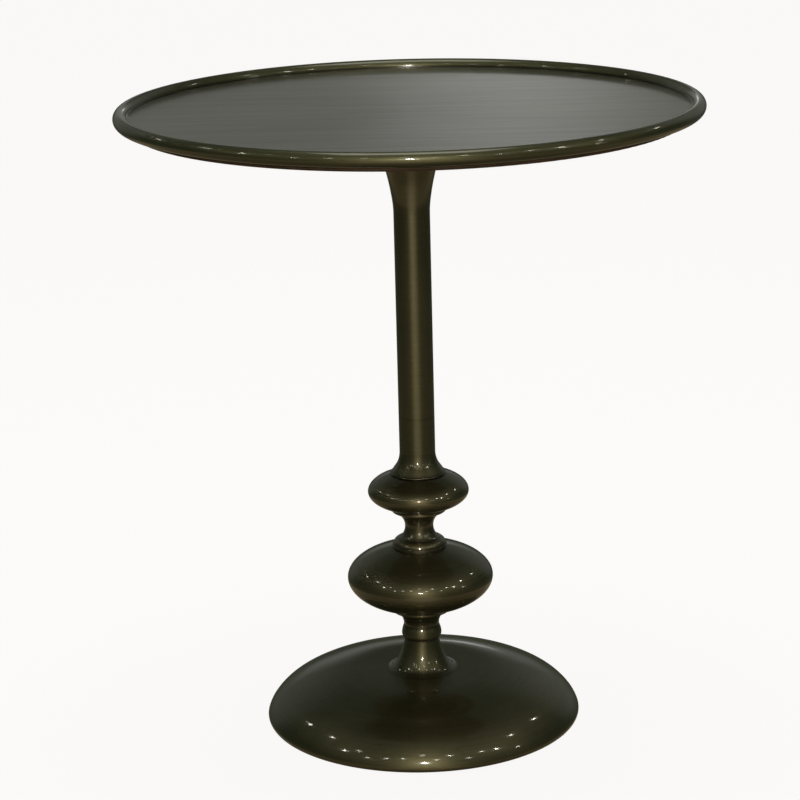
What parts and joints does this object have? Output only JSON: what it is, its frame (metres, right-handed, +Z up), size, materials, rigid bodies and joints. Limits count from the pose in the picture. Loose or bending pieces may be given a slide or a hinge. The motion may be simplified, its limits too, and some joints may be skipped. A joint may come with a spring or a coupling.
{
  "type": "bistro table",
  "caption": "Round bistro table with a shallow rimmed metal tray top on a turned bronze-brown brass pedestal with two bulbs and a domed base.",
  "frame": {"origin": "middle of the footprint, on the floor under the foot ring", "axes": "+Z up along the pedestal's axis; the table is round, so X and Y are free"},
  "size_m": [0.6599, 0.66, 0.7365],
  "materials": {
    "bronze": "antique bronze-brown, lathe-brushed under clear lacquer",
    "tray": "antique grey-brown sheet, fine straight brushing under clear lacquer",
    "board": "dark-stained plywood",
    "steel": "zinc-plated",
    "black_steel": "black satin paint",
    "iron": "as cast, black",
    "rubber": "matt black"
  },
  "bodies": {
    "root": {"tray_disc": "tray", "rim_ring": "bronze", "backing_board": "board", "top_plate": "black_steel", "hub_boss": "black_steel", "top_plate_screws": "steel", "column": "bronze", "column_foot": "bronze", "column_bush": "steel", "upper_bulb": "bronze", "upper_spacer": "steel", "mid_spool": "bronze", "lower_bulb": "bronze", "lower_spacer": "steel", "neck_bead": "bronze", "base_dome": "bronze", "base_spacer": "steel", "ballast": "iron", "tie_rod": "steel", "jam_nut": "steel", "rod_nut": "steel", "flat_washer": "steel", "lock_washer": "steel", "bottom_plate": "black_steel", "bottom_screws": "steel", "foot_ring": "rubber"}
  },
  "joints": []
}
